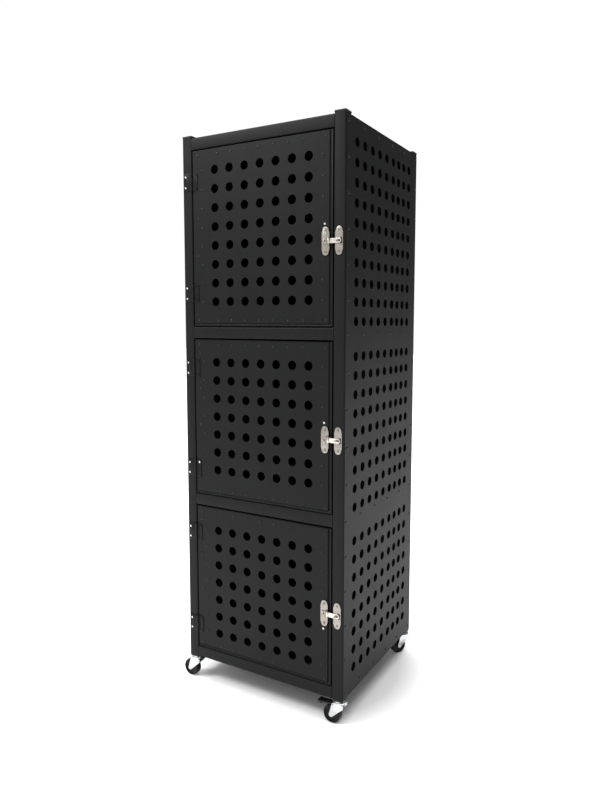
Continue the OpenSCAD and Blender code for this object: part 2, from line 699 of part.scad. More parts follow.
// The threaded stem, its collar above the fork and the head that holds the fork on
module caster_stems() color(zinc) for (c = corners)
    translate([c[0] * post_x, c[1] * post_y, 0]) {
        stem_from = fork_top - fork_t - swivel_gap;
        translate([0, 0, stem_from])
            cylinder(h = caster_h + plug_depth - stem_from, r = stem_r);
        translate([0, 0, raceway_top + swivel_gap]) cylinder(h = collar_t, d = collar_d);
        translate([0, 0, stem_from - stem_head_t]) cylinder(h = stem_head_t, r = stem_head_r);
    }

// One side of the fork, seen from the side: from the crown down to the axle
module fork_side() difference() {
    hull() {
        translate([-caster_trail, wheel_r]) circle(fork_tip_r, $fn = 32);
        for (x = [-fork_half_l, fork_half_l])
            translate([x, fork_top - fork_edge_r]) circle(fork_edge_r, $fn = 32);
        translate([fork_half_l, fork_top - fork_side_h - fork_edge_r])
            circle(fork_edge_r, $fn = 32);
    }
    translate([-caster_trail, wheel_r]) circle(d = axle_d + 2 * shank_gap);
}

module fork(c, pivot = undef) color(zinc) at_caster(c) difference() {
    union() {
        for (s = [-1, 1]) translate([0, s * (leg_y + fork_t / 2) + fork_t / 2, 0])
            rotate([90, 0, 0]) linear_extrude(fork_t) fork_side();
        translate([crown_from, -fork_w / 2, fork_top - fork_t])
            cube([crown_to - crown_from, fork_w, fork_t]);
        translate([0, 0, fork_top]) rotate_extrude() {
            square([raceway_d / 2 - raceway_rim_over, raceway_h]);
            translate([0, raceway_rim_lift]) square([raceway_d / 2, raceway_rim_t]);
        }
    }
    translate([0, 0, fork_top - fork_t - cut])
        cylinder(h = raceway_h + fork_t + 2 * cut, d = stem_d + 2 * pin_fit);
    if (pivot != undef) translate([pivot[0], 0, pivot[1]]) rotate([90, 0, 0])
        cylinder(h = fork_w + 2 * cut, r = pedal_pin_r + pin_fit, center = true);
}

// A bolt through the fork, with a domed head at each end
module axle(c) color(zinc) at_caster(c) translate([-caster_trail, 0, wheel_r]) {
    rotate([90, 0, 0]) cylinder(h = fork_w, d = axle_d, center = true);
    for (a = [90, -90]) rotate([a, 0, 0]) translate([0, 0, fork_w / 2])
        fastener(axle_head_d, axle_head_h, axle_d, axle_head_h);
}

// The profile turned about the axle: hub, web and treaded rim, on one side of the middle
function wheel_half(side) = let (bore_r = axle_d / 2 + pin_fit, hub_r = bore_r + hub_t,
    half = wheel_w / 2) [
    [bore_r, side * (half + hub_over)], [hub_r, side * (half + hub_over)],
    [hub_r + rim_draft, side * (half - web_inset)],
    [wheel_r - rim_t - rim_draft, side * (half - web_inset)], [wheel_r - rim_t, side * half],
    [wheel_r - tread_chamfer, side * half], [wheel_r, side * (half - tread_chamfer)]];
function reversed(list) = [for (k = [len(list) - 1 : -1 : 0]) list[k]];

module wheel(c) color(black_plastic) at_caster(c) translate([-caster_trail, 0, wheel_r])
    rotate([90, 0, 0]) rotate_extrude($fn = 72)
        polygon(concat(wheel_half(-1), reversed(wheel_half(1))));

// A hub on its own cross pin, with the lever that the foot presses
module pedal_at(c, pivot) color(black_plastic) at_caster(c)
    translate([pivot[0], 0, pivot[1]]) {
        rotate([90, 0, 0]) cylinder(h = pedal_w, r = pedal_hub_r, center = true);
        rotate([90, 0, 0]) cylinder(h = fork_w, r = pedal_pin_r, center = true);
        rotate([90, 0, 0]) linear_extrude(pedal_w, center = true) children();
    }

// The lever reaches back over the wheel to a pad
module trailing_lever() {
    pad_x = -pedal_reach - trailing_pivot[0]; // the pad's far end, from the pivot
    rotate(atan2(pedal_drop, -pad_x)) translate([pad_x, -pedal_t / 2]) square([-pad_x, pedal_t]);
    translate([pad_x, -pedal_drop - pad_h / 2]) square([pad_l, pad_h]);
}

// The lever is a short toe tab in front of the fork
module leading_lever() rotate(tab_rise) {
    translate([0, -tab_t / 2]) square([tab_l, tab_t]);
    translate([tab_l - tab_end_l, -tab_t / 2]) square([tab_end_l, tab_end_t]);
}

module bottom_door_frame() door_frame(0);
module bottom_door_sheet() door_sheet(0);
module bottom_door_rivets() door_rivet_set(0);
module bottom_door_leaves() door_leaves(0);
module bottom_door_screws() door_screws(0);
module bottom_latch_plate() latch_plate(0);
module bottom_latch_pin() latch_pin(0);
module bottom_latch_arm() latch_arm(0);
module middle_door_frame() door_frame(1);
module middle_door_sheet() door_sheet(1);
module middle_door_rivets() door_rivet_set(1);
module middle_door_leaves() door_leaves(1);
module middle_door_screws() door_screws(1);
module middle_latch_plate() latch_plate(1);
module middle_latch_pin() latch_pin(1);
module middle_latch_arm() latch_arm(1);
module top_door_frame() door_frame(2);
module top_door_sheet() door_sheet(2);
module top_door_rivets() door_rivet_set(2);
module top_door_leaves() door_leaves(2);
module top_door_screws() door_screws(2);
module top_latch_plate() latch_plate(2);
module top_latch_pin() latch_pin(2);
module top_latch_arm() latch_arm(2);

module front_left_fork() fork(0, leading_pivot);
module front_left_axle() axle(0);
module front_left_wheel() wheel(0);
module front_left_pedal() pedal_at(0, leading_pivot) leading_lever();
module front_right_fork() fork(1, trailing_pivot);
module front_right_axle() axle(1);
module front_right_wheel() wheel(1);
module front_right_pedal() pedal_at(1, trailing_pivot) trailing_lever();
module rear_left_fork() fork(2);
module rear_left_axle() axle(2);
module rear_left_wheel() wheel(2);
module rear_right_fork() fork(3);
module rear_right_axle() axle(3);
module rear_right_wheel() wheel(3);

post_front_left();
post_front_right();
post_rear_left();
post_rear_right();
post_caps();
width_rails();
depth_rails();
left_wall_panel();
right_wall_panel();
rear_wall_panel();
top_panel();
floor_panel();
shelf_lower();
shelf_upper();
panel_rivets();
hinge_post_leaves();
hinge_pins();
post_screws();
latch_keepers();
bottom_door_frame();
bottom_door_sheet();
bottom_door_rivets();
bottom_door_leaves();
bottom_door_screws();
bottom_latch_plate();
bottom_latch_pin();
bottom_latch_arm();
middle_door_frame();
middle_door_sheet();
middle_door_rivets();
middle_door_leaves();
middle_door_screws();
middle_latch_plate();
middle_latch_pin();
middle_latch_arm();
top_door_frame();
top_door_sheet();
top_door_rivets();
top_door_leaves();
top_door_screws();
top_latch_plate();
top_latch_pin();
top_latch_arm();
caster_sockets();
caster_stems();
front_left_fork();
front_left_axle();
front_left_wheel();
front_left_pedal();
front_right_fork();
front_right_axle();
front_right_wheel();
front_right_pedal();
rear_left_fork();
rear_left_axle();
rear_left_wheel();
rear_right_fork();
rear_right_axle();
rear_right_wheel();
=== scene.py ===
"""Three-compartment locker cabinet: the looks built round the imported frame."""

import json
import math

import bmesh
import bpy
from mathutils import Matrix, Vector


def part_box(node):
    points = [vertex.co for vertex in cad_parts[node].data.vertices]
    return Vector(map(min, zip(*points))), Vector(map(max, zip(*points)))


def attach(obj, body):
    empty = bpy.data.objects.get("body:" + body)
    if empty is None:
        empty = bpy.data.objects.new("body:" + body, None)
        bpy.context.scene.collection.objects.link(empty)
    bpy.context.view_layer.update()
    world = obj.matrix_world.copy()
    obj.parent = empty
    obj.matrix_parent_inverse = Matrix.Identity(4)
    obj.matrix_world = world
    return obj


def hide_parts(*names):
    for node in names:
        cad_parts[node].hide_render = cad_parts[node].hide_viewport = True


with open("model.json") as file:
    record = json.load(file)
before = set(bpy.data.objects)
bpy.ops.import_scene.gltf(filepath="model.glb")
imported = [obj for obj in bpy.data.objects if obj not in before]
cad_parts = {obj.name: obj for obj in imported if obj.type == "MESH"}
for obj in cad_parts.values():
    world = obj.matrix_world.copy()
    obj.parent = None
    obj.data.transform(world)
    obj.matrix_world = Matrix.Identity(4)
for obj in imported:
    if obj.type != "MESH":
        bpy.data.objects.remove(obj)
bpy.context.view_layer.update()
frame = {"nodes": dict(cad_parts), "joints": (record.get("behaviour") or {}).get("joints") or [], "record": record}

MM = 0.001
LEVELS = ("bottom", "middle", "top")
CASTERS = ("front_left", "front_right", "rear_left", "rear_right")


def box_mm(node):
    """A node's lowest and highest corners, in millimetres."""
    low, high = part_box(node)
    return low / MM, high / MM


# ---------- sizes, in millimetres ----------
TUBE = 32
TUBE_R = 3
SHEET_T = 1.2
HOLE_R = 12.7
HOLE_SIDES = 24
DOOR_PITCH_X = 50.8
DOOR_PITCH_Z = 52.4
SIDE_PITCH_Z = 50.8
RIVET_R = 3.3
RIVET_H = 2.2
RIVET_SUNK = 0.4
RIVET_SIDES = 14
SCREW_R = 3.2
SCREW_H = 1.4
SCREW_CROWN_R = 2.75
SCREW_CROWN_H = 1.05
SCREW_RIM_H = 0.35
SCREW_SUNK = 0.3
CROSS_HALF = 0.55  # half the width of one arm of the cross recess
CROSS_REACH = 2.1
CROSS_DEPTH = 0.75
HINGE_H = 51
HINGE_OUT = 3
KNUCKLE_R = 3
KNUCKLE_GAP = 0.3
KNUCKLE_CHAMFER = 0.35
LEAF_T = 1.6
LEAF_CORNER = 1.2
LEAF_EDGE = 0.3
TONGUE_OVERLAP = 0.5  # how far a knuckle's tongue runs into its leaf
POST_LEAF_W = 30.5
POST_LEAF_SCREW = 22.5
DOOR_LEAF_SCREW = 14.5
POST_LEAF_PITCH = 30
DOOR_LEAF_PITCH = 38
LATCH_T = 2.5
LATCH_W = 22
LATCH_WAIST_H = 43
LATCH_H = 72
LATCH_NECK_R = 9
LATCH_SCREW_PITCH = 54
LATCH_DROP = (17, 29, 30)
STAPLE_X = 245
STAPLE_W = 8
STAPLE_T = 3
STAPLE_OUT = 11
PADLOCK_R = 2.25
EYE_SIDES = 24
OPENING_X = (2.8, 8.6)  # the keeper's opening under the arm's tip, from its middle
OPENING_H = 15
HINGE_TOP = (85, 87, 89)
HINGE_BOTTOM = (72, 78, 97)
DOOR_HOLES_RISE = (-6, 5.5, 5)
DOOR_HOLES_SHIFT = 4
DOOR_ROWS = (7, 7, 8)
DOOR_COLUMNS = 7
SIDE_HOLES_RISE = (-5.5, -15.1, -5)
SIDE_ROWS = (8, 9, 10)
SIDE_FIRST = 64.2  # from the wall's front edge to its first column of holes
SIDE_PITCH_Y = 47.3
SIDE_COLUMNS = 6
SIDE_REAR_PITCH_Y = 40  # the last columns stand closer
SIDE_REAR_COLUMNS = 3
DOOR_RIVET_EDGE = 15.5
DOOR_RIVET_SIDE = 18.5
DOOR_RIVET_LATCH = 27.5
DOOR_RIVET_LATCH_DROP = 1.5
DOOR_RIVET_INNER = 33.5
DOOR_RIVET_PITCH = 46.5
DOOR_RIVET_ROW = 7
WALL_RIVET_PITCH = 100
SPARE_SCREW_OFF = 44.2
SPARE_SCREW_SHIFT = 3
GROOVE_W = 2.2
GROOVE_DEPTH = 1.4
SKIN_TRIM = 2.6  # the skin stops this far inside its CAD edge, where the groove starts
CAP_CORNER = TUBE_R + 1.2
CAP_EDGE = 1.1
SOCKET_EDGE = 0.8
STEM_R = 5
STEM_HEAD_R = 7.5
STEM_HEAD_H = 2
STEM_HEAD_CHAMFER = 0.6
WASHER_R = 12.25
WASHER_Z = (68.3, 69)
WHEEL_R = 25.4
WHEEL_HALF = 10
BORE_R = 3.05
HUB_R = 6.6
HUB_HALF = 10.8
WEB_HALF = 7
RIM_R = 20

# How far the edges of each kind of part are rounded
KEEPER_EDGE = 0.5
STAPLE_EDGE = 0.35
HASP_PLATE_EDGE = 0.4
HASP_ARM_EDGE = 0.45
DOOR_LEAF_EDGE = 0.25
DOOR_TUBE_EDGE = 1.8
FORK_EDGE = 0.4
PEDAL_EDGE = 0.6

# ---------- places, read from the frame ----------
post_low, post_high = box_mm("post_front_left")
HALF_W, HALF_D, _ = box_mm("post_rear_right")[1]
POST_X = HALF_W - TUBE / 2
POST_Y = HALF_D - TUBE / 2
FRAME_BOTTOM = post_low.z
POST_TOP = post_high.z
RAIL_TOP = [box_mm(n)[0].z for n in ("floor_panel", "shelf_lower", "shelf_upper", "top_panel")]
BAY_LOW = RAIL_TOP[:3]
BAY_HIGH = [z - TUBE for z in RAIL_TOP[1:]]
BAY_MID = [(a + b) / 2 for a, b in zip(BAY_LOW, BAY_HIGH)]
DOOR_W = box_mm("top_door_frame")[1].x * 2
DOOR_H = [box_mm(f"{n}_door_frame")[1].z - box_mm(f"{n}_door_frame")[0].z for n in LEVELS]
HINGE_X = -HALF_W + TUBE + 2
KEEPER_X = POST_X
LATCH_X = DOOR_W / 2 - 19
HINGE_Z = [(low + a, high - b) for low, high, a, b in
           zip(BAY_LOW, BAY_HIGH, HINGE_BOTTOM, HINGE_TOP)]
LATCH_Z = [mid - drop for mid, drop in zip(BAY_MID, LATCH_DROP)]


# ---------- finishes ----------
class Value:
    """A number that varies over a surface. Arithmetic on it adds Math nodes."""

    def __init__(self, finish, socket):
        self.finish = finish
        self.socket = socket

    def maths(self, operation, *terms):
        made = self.finish.node("ShaderNodeMath", {"operation": operation},
                                dict(enumerate(terms)))
        return Value(self.finish, made.outputs[0])

    def __add__(self, other):
        return self.maths("ADD", self, other)

    def __sub__(self, other):
        return self.maths("SUBTRACT", self, other)

    def __rsub__(self, other):
        return self.maths("SUBTRACT", other, self)

    def __mul__(self, other):
        return self.maths("MULTIPLY", self, other)

    __radd__ = __add__
    __rmul__ = __mul__


class Nodes:
    """A node tree, and the ways this script adds to it."""

    def __init__(self, tree):
        self.tree = tree

    def node(self, kind, settings=None, inputs=None):
        made = self.tree.nodes.new(kind)
        for key, value in (settings or {}).items():
            setattr(made, key, value)
        for key, value in (inputs or {}).items():
            self.feed(made.inputs[key], value)
        return made

    def feed(self, socket, value):
        if isinstance(value, Value):
            value = value.socket
        if isinstance(value, bpy.types.NodeSocket):
            self.tree.links.new(value, socket)
        else:
            socket.default_value = value

    def between(self, value, low, high):
        """0 below low and 1 above high."""
        made = self.node("ShaderNodeMapRange", {"clamp": True}, {
            "Value": value, "From Min": low, "From Max": high, "To Min": 0.0, "To Max": 1.0})
        return Value(self, made.outputs[0])


class Finish(Nodes):
    """One surface finish: a Principled shader fed by patterns on Object coordinates."""

    def __init__(self, name, **constants):
        self.material = bpy.data.materials.new(name)
        self.material.use_nodes = True
        super().__init__(self.material.node_tree)
        self.tree.nodes.clear()
        self.place = self.node("ShaderNodeTexCoord").outputs["Object"]
        self.shader = self.node("ShaderNodeBsdfPrincipled", {}, constants)
        self.node("ShaderNodeOutputMaterial", {}, {"Surface": self.shader.outputs[0]})

    def stretched(self, x, y, z):
        """Coordinates scaled along each axis, for a pattern with a direction."""
        made = self.node("ShaderNodeMapping", {}, {"Vector": self.place, "Scale": (x, y, z)})
        return made.outputs[0]

    def noise(self, scale, detail=2.0, roughness=0.5, place=None):
        made = self.node("ShaderNodeTexNoise", {}, {
            "Vector": place or self.place, "Scale": scale, "Detail": detail,
            "Roughness": roughness})
        return Value(self, made.outputs[0])

    def cells(self, scale):
        made = self.node("ShaderNodeTexVoronoi", {"feature": "F1"},
                         {"Vector": self.place, "Scale": scale})
        return Value(self, made.outputs["Distance"])

    def tint(self, share, first, second):
        """The first colour where share is 0, the second where it is 1."""
        made = self.node("ShaderNodeMix", {"data_type": "RGBA"},
                         {0: share, 6: (*first, 1), 7: (*second, 1)})
        return made.outputs[2]

    def wear(self, colour=None, roughness=None, height=None, depth=0.0002, strength=0.5):
        """Connects what varies to the shader."""
        for key, value in (("Base Color", colour), ("Roughness", roughness)):
            if value is not None:
                self.feed(self.shader.inputs[key], value)
        if height is not None:
            bump = self.node("ShaderNodeBump", {}, {
                "Strength": strength, "Distance": depth, "Height": height})
            self.feed(self.shader.inputs["Normal"], bump.outputs[0])
        return self.material


def powder_coat():
    """Black powder coat: fine orange peel, faint mottling and a few dull rubs."""
    f = Finish("black powder coat", **{"IOR": 1.45, "Specular IOR Level": 0.12})
    peel = f.noise(700, 3, 0.55)
    grain = f.cells(1600)
    cloud = f.noise(9, 4, 0.6)
    rubs = f.between(f.noise(38, 5, 0.62, f.stretched(1, 1, 0.35)), 0.60, 0.72)
    return f.wear(
        colour=f.tint(cloud * 0.7 + rubs * 0.25, (0.0050, 0.0051, 0.0054),
                      (0.0085, 0.0087, 0.0091)),
        roughness=0.40 + cloud * 0.10 + rubs * 0.10 + grain * 0.05,
        height=peel + grain * 0.35, depth=0.00012, strength=0.45)


def shaded_rivet_black():
    """Rivet heads: smoother than the coat round them, painted darker than it as painted shade, with random lighter
    patches.
    """
    f = Finish("rivet black darkened as painted shade", **{"IOR": 1.45, "Specular IOR Level": 0.3})
    cloud = f.noise(400, 3, 0.6)
    return f.wear(colour=f.tint(cloud, (0.0012, 0.0012, 0.0013), (0.003, 0.003, 0.0032)),
                  roughness=0.18 + cloud * 0.1, height=cloud, depth=0.00005, strength=0.3)


def moulded_plastic():
    f = Finish("moulded black plastic", **{"IOR": 1.46, "Specular IOR Level": 0.22})
    grain = f.noise(2400, 2, 0.6)
    cloud = f.noise(60, 3, 0.5)
    return f.wear(colour=f.tint(cloud, (0.008, 0.008, 0.009), (0.014, 0.014, 0.015)),
                  roughness=0.42 + cloud * 0.14, height=grain, depth=0.00006, strength=0.5)


def zinc_plate():
    """Bright zinc: drawn steel under a faintly clouded plating."""
    f = Finish("bright zinc", **{"Metallic": 1.0, "IOR": 1.5})
    drawn = f.noise(260, 3, 0.55, f.stretched(1, 1, 0.12))
    cloud = f.noise(90, 3, 0.6)
    stain = f.between(f.noise(45, 4, 0.65), 0.55, 0.75)
    return f.wear(colour=f.tint(cloud * 0.8 + stain * 0.4, (0.72, 0.74, 0.76),
                                (0.42, 0.43, 0.43)),
                  roughness=0.24 + cloud * 0.14 + drawn * 0.06,
                  height=drawn + cloud * 0.3, depth=0.00006, strength=0.35)


def satin_nickel(name, clean, dull):
    """Satin nickel: short vertical brush lines under a soft, warm sheen."""
    f = Finish(name, **{"Metallic": 1.0, "IOR": 1.5})
    brush = f.noise(1500, 3, 0.6, f.stretched(1, 1, 0.05))
    cloud = f.noise(120, 3, 0.6)
    blotch = f.between(f.noise(260, 4, 0.7), 0.35, 0.7)
    return f.wear(colour=f.tint(cloud * 0.3 + blotch * 0.7, clean, dull),
                  roughness=0.30 + brush * 0.12 + cloud * 0.08,
                  height=brush, depth=0.00003, strength=0.4)


def screw_steel():
    f = Finish("screw steel", **{"Metallic": 1.0, "IOR": 1.5})
    turned = f.noise(900, 2, 0.5)
    cloud = f.noise(300, 2, 0.5)
    return f.wear(colour=f.tint(cloud, (0.80, 0.80, 0.80), (0.62, 0.61, 0.58)),
                  roughness=0.22 + turned * 0.14, height=turned, depth=0.00003, strength=0.3)


def wheel_rubber():
    """Hard black tread and hub, with scuffed patches."""
    f = Finish("wheel rubber", **{"IOR": 1.5, "Specular IOR Level": 0.16})
    grain = f.noise(1800, 3, 0.6)
    scuff = f.between(f.noise(140, 4, 0.65), 0.5, 0.72)
    return f.wear(colour=f.tint(scuff, (0.003, 0.003, 0.0032), (0.008, 0.0078, 0.0075)),
                  roughness=0.30 + scuff * 0.2, height=grain + scuff * 0.4, depth=0.00008,
                  strength=0.5)


FINISHES = {
    "black_powder_coat": powder_coat(),
    "black_plastic": moulded_plastic(),
    "bright_zinc": zinc_plate(),
    "satin_nickel": satin_nickel("satin nickel", (0.34, 0.315, 0.285), (0.17, 0.155, 0.14)),
    "screw_steel": screw_steel(),
    "wheel_rubber": wheel_rubber(),
}
# The arms' nickel is a lighter copy of the plates' nickel: a painted highlight that sets each arm off from its
# plate.
HIGHLIT_ARM_NICKEL = satin_nickel("nickel lightened as painted highlight", (0.60, 0.565, 0.52), (0.42, 0.395, 0.36))
# The latch and keeper screws' nickel is a darker copy of the plates' nickel: painted shade.
SHADED_SCREW_NICKEL = satin_nickel("nickel darkened as painted shade", (0.30, 0.28, 0.25), (0.14, 0.13, 0.115))
# Rivets and the painted leaf screws take a black darker than the coat round them, as painted shade.
SHADED_RIVET_BLACK = shaded_rivet_black()


# ---------- mesh helpers, all in millimetres ----------
def facing(right, up, at):
    """Turns a flat drawing so that its X runs along right and its Y along up."""
    right, up = Vector(right), Vector(up)
    out = right.cross(up)
    return Matrix.Translation(Vector(at)) @ Matrix((right, up, out)).transposed().to_4x4()


FRONT = facing((1, 0, 0), (0, 0, 1), (0, -HALF_D, 0))
REAR = facing((-1, 0, 0), (0, 0, 1), (0, HALF_D, 0))
RIGHT = facing((0, 1, 0), (0, 0, 1), (HALF_W, 0, 0))
LEFT = facing((0, -1, 0), (0, 0, 1), (-HALF_W, 0, 0))


def moved(x, y, z=0.0):
    return Matrix.Translation((x, y, z))


def place(bm, matrix):
    bmesh.ops.transform(bm, matrix=matrix, verts=bm.verts)
    return bm


def verts_of(made):
    return [g for g in made["geom"] if isinstance(g, bmesh.types.BMVert)]


def plate(bm, width, height, corner=0.0, steps=4):
    """A flat face in the XY plane, with rounded corners."""
    made = bmesh.ops.create_grid(bm, x_segments=1, y_segments=1, size=0.5)
    bmesh.ops.scale(bm, vec=(width, height, 1), verts=made["verts"])
    if corner:
        bmesh.ops.bevel(bm, geom=made["verts"], offset=corner, offset_type="OFFSET",
                        segments=steps, profile=0.5, affect="VERTICES", material=-1)


def pull(bm, faces, vector):
    """Extrudes faces along a vector and returns the new end faces."""
    made = bmesh.ops.extrude_face_region(bm, geom=faces)
    bmesh.ops.translate(bm, verts=verts_of(made), vec=vector)
    return [g for g in made["geom"] if isinstance(g, bmesh.types.BMFace)]


def soften(bm, width, steps=2, above=35):
    """Rounds the convex edges that turn by more than an angle, in degrees."""
    limit = math.radians(above)
    edges = [e for e in bm.edges if len(e.link_faces) == 2 and e.is_convex
             and e.calc_face_angle(0) > limit]
    bmesh.ops.bevel(bm, geom=edges, offset=width, offset_type="OFFSET", segments=steps,
                    profile=0.5, affect="EDGES", material=-1, clamp_overlap=True)


def cut_at(bm, way, distances):
    """Adds edges where planes that face one way, at distances from the origin, meet a mesh."""
    for distance in distances:
        bmesh.ops.bisect_plane(bm, geom=bm.verts[:] + bm.edges[:] + bm.faces[:],
                               plane_co=Vector(way) * distance, plane_no=way)


def closed(bm):
    """Merges doubled corners and turns the faces outwards."""
    bmesh.ops.remove_doubles(bm, verts=bm.verts, dist=0.002)
    bmesh.ops.recalc_face_normals(bm, faces=bm.faces)
    return bm


def bar(width, height, length, corner, edge=0.0, steps=4):
    """A bar of rounded rectangular section, from the XY plane up."""
    bm = bmesh.new()
    plate(bm, width, height, corner, steps)
    pull(bm, bm.faces[:], (0, 0, length))
    closed(bm)
    if edge:
        soften(bm, edge, above=60)
    return bm


def turned(profile, steps):
    """A closed shape turned about Z from (radius, height) points. They start and end on
    the axis, or both at one point."""
    bm = bmesh.new()
    points = [bm.verts.new((r, 0, z)) for r, z in profile]
    edges = [bm.edges.new(pair) for pair in zip(points, points[1:])]
    bmesh.ops.spin(bm, geom=points + edges, cent=(0, 0, 0), axis=(0, 0, 1),
                   angle=math.tau, steps=steps, use_merge=True)
    return closed(bm)


def stamp(bm, shape, matrix):
    """Adds a copy of a shape to a mesh."""
    copy = shape.copy()
    place(copy, matrix)
    mesh = bpy.data.meshes.new("stamp")
    copy.to_mesh(mesh)
    copy.free()
    bm.from_mesh(mesh)
    bpy.data.meshes.remove(mesh)


def stamped(shape, places):
    bm = bmesh.new()
    for matrix in places:
        stamp(bm, shape, matrix)
    return bm


def cad_copy(node, width, steps=2, above=35):
    """A CAD node's shape with its loose triangles joined and its edges softened."""
    bm = bmesh.new()
    bm.from_mesh(frame["nodes"][node].data)
    bmesh.ops.scale(bm, vec=(1 / MM,) * 3, verts=bm.verts)
    bmesh.ops.remove_doubles(bm, verts=bm.verts, dist=0.004)
    bmesh.ops.dissolve_limit(bm, angle_limit=math.radians(1), verts=bm.verts, edges=bm.edges,
                             delimit={"NORMAL"})
    soften(bm, width, steps, above)
    return bm


def finish_piece(name, bm, slot, body, *nodes, sharp=38, finish=None):
    """Makes the mesh an object that rides on its body and stands for its CAD nodes."""
    bmesh.ops.scale(bm, vec=(MM,) * 3, verts=bm.verts)
    mesh = bpy.data.meshes.new(name)
    bm.to_mesh(mesh)
    bm.free()
    mesh.shade_smooth()
    mesh.set_sharp_from_angle(angle=math.radians(sharp))
    mesh.materials.append(finish or FINISHES[slot])
    piece = bpy.data.objects.new(name, mesh)
    bpy.context.scene.collection.objects.link(piece)
    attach(piece, body)
    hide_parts(*nodes)
    return piece


# ---------- perforated sheets ----------
def cell_lines(centres, low, high):
    """Lines that cut a sheet into one cell for each centre, with plain cells between groups."""
    half = min(b - a for a, b in zip(centres, centres[1:])) / 2
    lines = [low, centres[0] - half]
    for before, centre in zip(centres, centres[1:]):
        if centre - before > 3 * half:
            lines += [before + half, centre - half]
        else:
            lines.append((before + centre) / 2)
    return lines + [centres[-1] + half, high]


def perforated(low, high, columns, rows, matrix):
    """A sheet between two corners, drawn flat, with a round hole at each column and row."""
    across = cell_lines(columns, low[0], high[0])
    up = cell_lines(rows, low[1], high[1])
    nx, ny = len(across) - 1, len(up) - 1
    bm = bmesh.new()
    bmesh.ops.create_grid(bm, x_segments=nx, y_segments=ny, size=1)
    for v in bm.verts:
        v.co = (across[round((v.co.x + 1) / 2 * nx)], up[round((v.co.y + 1) / 2 * ny)], 0)
    centre = {}
    for face in bm.faces:
        xs, ys = zip(*(v.co.xy for v in face.verts))
        spots = [(x, y) for x in columns for y in rows
                 if min(xs) < x < max(xs) and min(ys) < y < max(ys)]
        if spots:
            centre[face] = spots[0]
    holes = list(centre)
    edges = {e for f in holes for e in f.edges}
    bmesh.ops.bisect_edges(bm, edges=list(edges), cuts=HOLE_SIDES // 4 - 1)
    bmesh.ops.inset_individual(bm, faces=holes, thickness=1.0, use_even_offset=True)
    for face in holes:
        x, y = centre[face]
        loop = list(face.verts)
        first = max(range(len(loop)), key=lambda k: loop[k].co.x - x + loop[k].co.y - y)
        for k in range(len(loop)):
            angle = math.tau * (k / len(loop) + 1 / 8)
            loop[(first + k) % len(loop)].co = (x + HOLE_R * math.cos(angle),
                                                y + HOLE_R * math.sin(angle), 0)
    bmesh.ops.delete(bm, geom=holes, context="FACES_ONLY")
    bmesh.ops.recalc_face_normals(bm, faces=bm.faces)
    bmesh.ops.solidify(bm, geom=bm.faces[:], thickness=SHEET_T)
    back = min(v.co.z for v in bm.verts)
    bmesh.ops.translate(bm, verts=bm.verts, vec=(0, 0, -back))
    bmesh.ops.recalc_face_normals(bm, faces=bm.faces)
    return place(bm, matrix)


def spread(n, pitch):
    return [(k - (n - 1) / 2) * pitch for k in range(n)]


door_columns = [x + DOOR_HOLES_SHIFT for x in spread(DOOR_COLUMNS, DOOR_PITCH_X)]
door_rows = [[BAY_MID[i] + DOOR_HOLES_RISE[i] + z for z in spread(DOOR_ROWS[i], DOOR_PITCH_Z)]
             for i in range(3)]
side_columns = [SIDE_FIRST - HALF_D + SIDE_PITCH_Y * k for k in range(SIDE_COLUMNS)]
side_columns += [side_columns[-1] + SIDE_REAR_PITCH_Y * (k + 1)
                 for k in range(SIDE_REAR_COLUMNS)]
side_rows = [BAY_MID[i] + SIDE_HOLES_RISE[i] + z for i in range(3)
             for z in spread(SIDE_ROWS[i], SIDE_PITCH_Z)]

low, high = box_mm("right_wall_panel")
finish_piece("right_wall", perforated((low.y, low.z), (high.y, high.z), side_columns, side_rows,
                                      RIGHT), "black_powder_coat", "root", "right_wall_panel")
for i, level in enumerate(LEVELS):
    low, high = box_mm(f"{level}_door_sheet")
    finish_piece(f"{level}_door_skin",
                 perforated((low.x, low.z), (high.x - SKIN_TRIM, high.z), door_columns,
                            door_rows[i], FRONT @ moved(0, 0, -SHEET_T)),
                 "black_powder_coat", f"{level}_door", f"{level}_door_sheet")


# ---------- frame ----------
def tube_along(length):
    return bar(TUBE, TUBE, length, TUBE_R, steps=5)


for name, side, end in (("post_front_left", -1, -1), ("post_front_right", 1, -1),
                        ("post_rear_left", -1, 1), ("post_rear_right", 1, 1)):
    finish_piece(f"{name}_tube", place(tube_along(POST_TOP - FRAME_BOTTOM),
                                       moved(side * POST_X, end * POST_Y, FRAME_BOTTOM)),
                 "black_powder_coat", "root", name)

rail_levels = [z - TUBE / 2 for z in RAIL_TOP]
across = Matrix.Rotation(math.pi / 2, 4, "Y")
along = Matrix.Rotation(-math.pi / 2, 4, "X")
width_run = 2 * (HALF_W - TUBE)
depth_run = 2 * (HALF_D - TUBE)
finish_piece("width_rail_tubes", stamped(tube_along(width_run), [
    moved(-width_run / 2, s * POST_Y, z) @ across for z in rail_levels for s in (-1, 1)]),
    "black_powder_coat", "root", "width_rails")
finish_piece("depth_rail_tubes", stamped(tube_along(depth_run), [
    moved(s * POST_X, -depth_run / 2, z) @ along for z in rail_levels for s in (-1, 1)]),
    "black_powder_coat", "root", "depth_rails")

